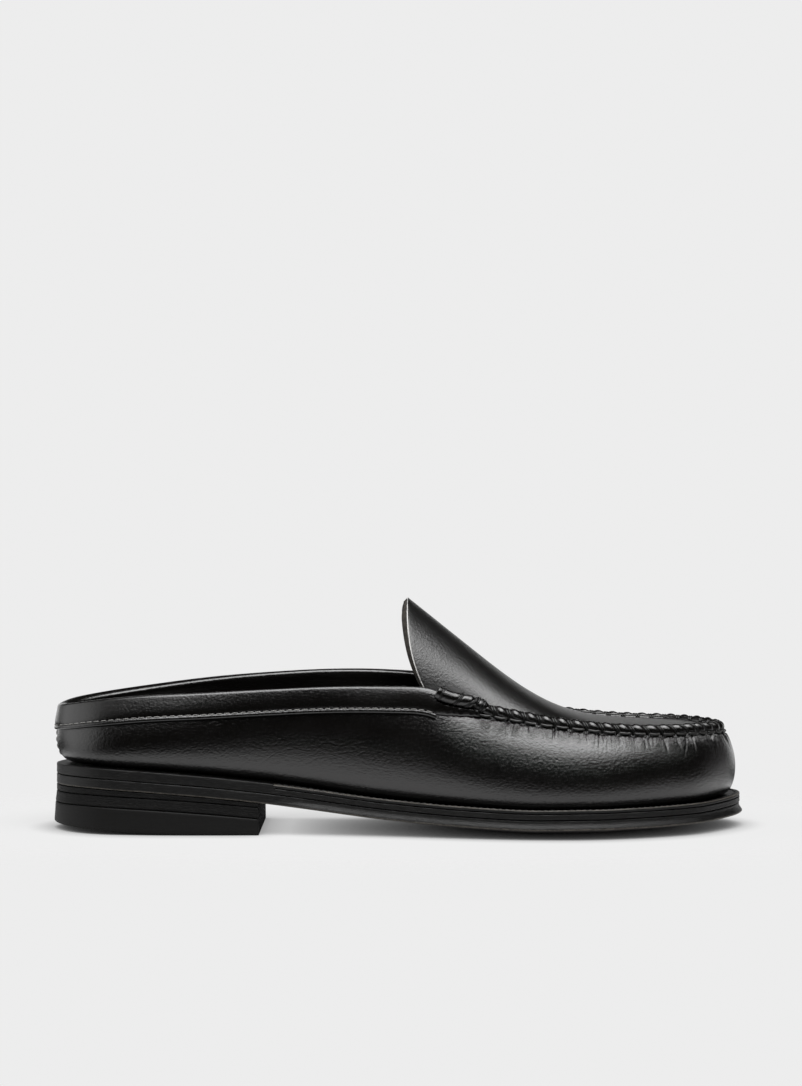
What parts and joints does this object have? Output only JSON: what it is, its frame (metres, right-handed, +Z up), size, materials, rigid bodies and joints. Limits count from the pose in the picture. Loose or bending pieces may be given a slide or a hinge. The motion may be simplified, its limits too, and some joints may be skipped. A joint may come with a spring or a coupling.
{
  "type": "loafer mule",
  "caption": "Low leather loafer mule for the right foot: welted sole, stacked heel, hollow upper with raised toe seam and tall tongue.",
  "frame": {"origin": "on the floor, under the middle of the shoe's bounding box", "axes": "+X towards the toe, +Y towards the inner side of the foot, +Z up"},
  "size_m": [0.2986, 0.1028, 0.099],
  "materials": {
    "upper_leather": "smooth black calf, semi-gloss, fine grain",
    "sole_leather": "black inked and waxed edge, satin, fine horizontal layering",
    "heel_rubber": "black rubber, satin",
    "sock_leather": "matte black lining leather"
  },
  "bodies": {
    "root": {"outsole": "sole_leather", "midsole": "sole_leather", "welt": "sole_leather", "heel_lift_upper": "sole_leather", "heel_lift_lower": "sole_leather", "heel_top_lift": "heel_rubber", "insole": "sock_leather", "upper": "upper_leather", "collar_band": "upper_leather", "throat_roll_lateral": "upper_leather", "throat_roll_medial": "upper_leather"}
  },
  "joints": []
}
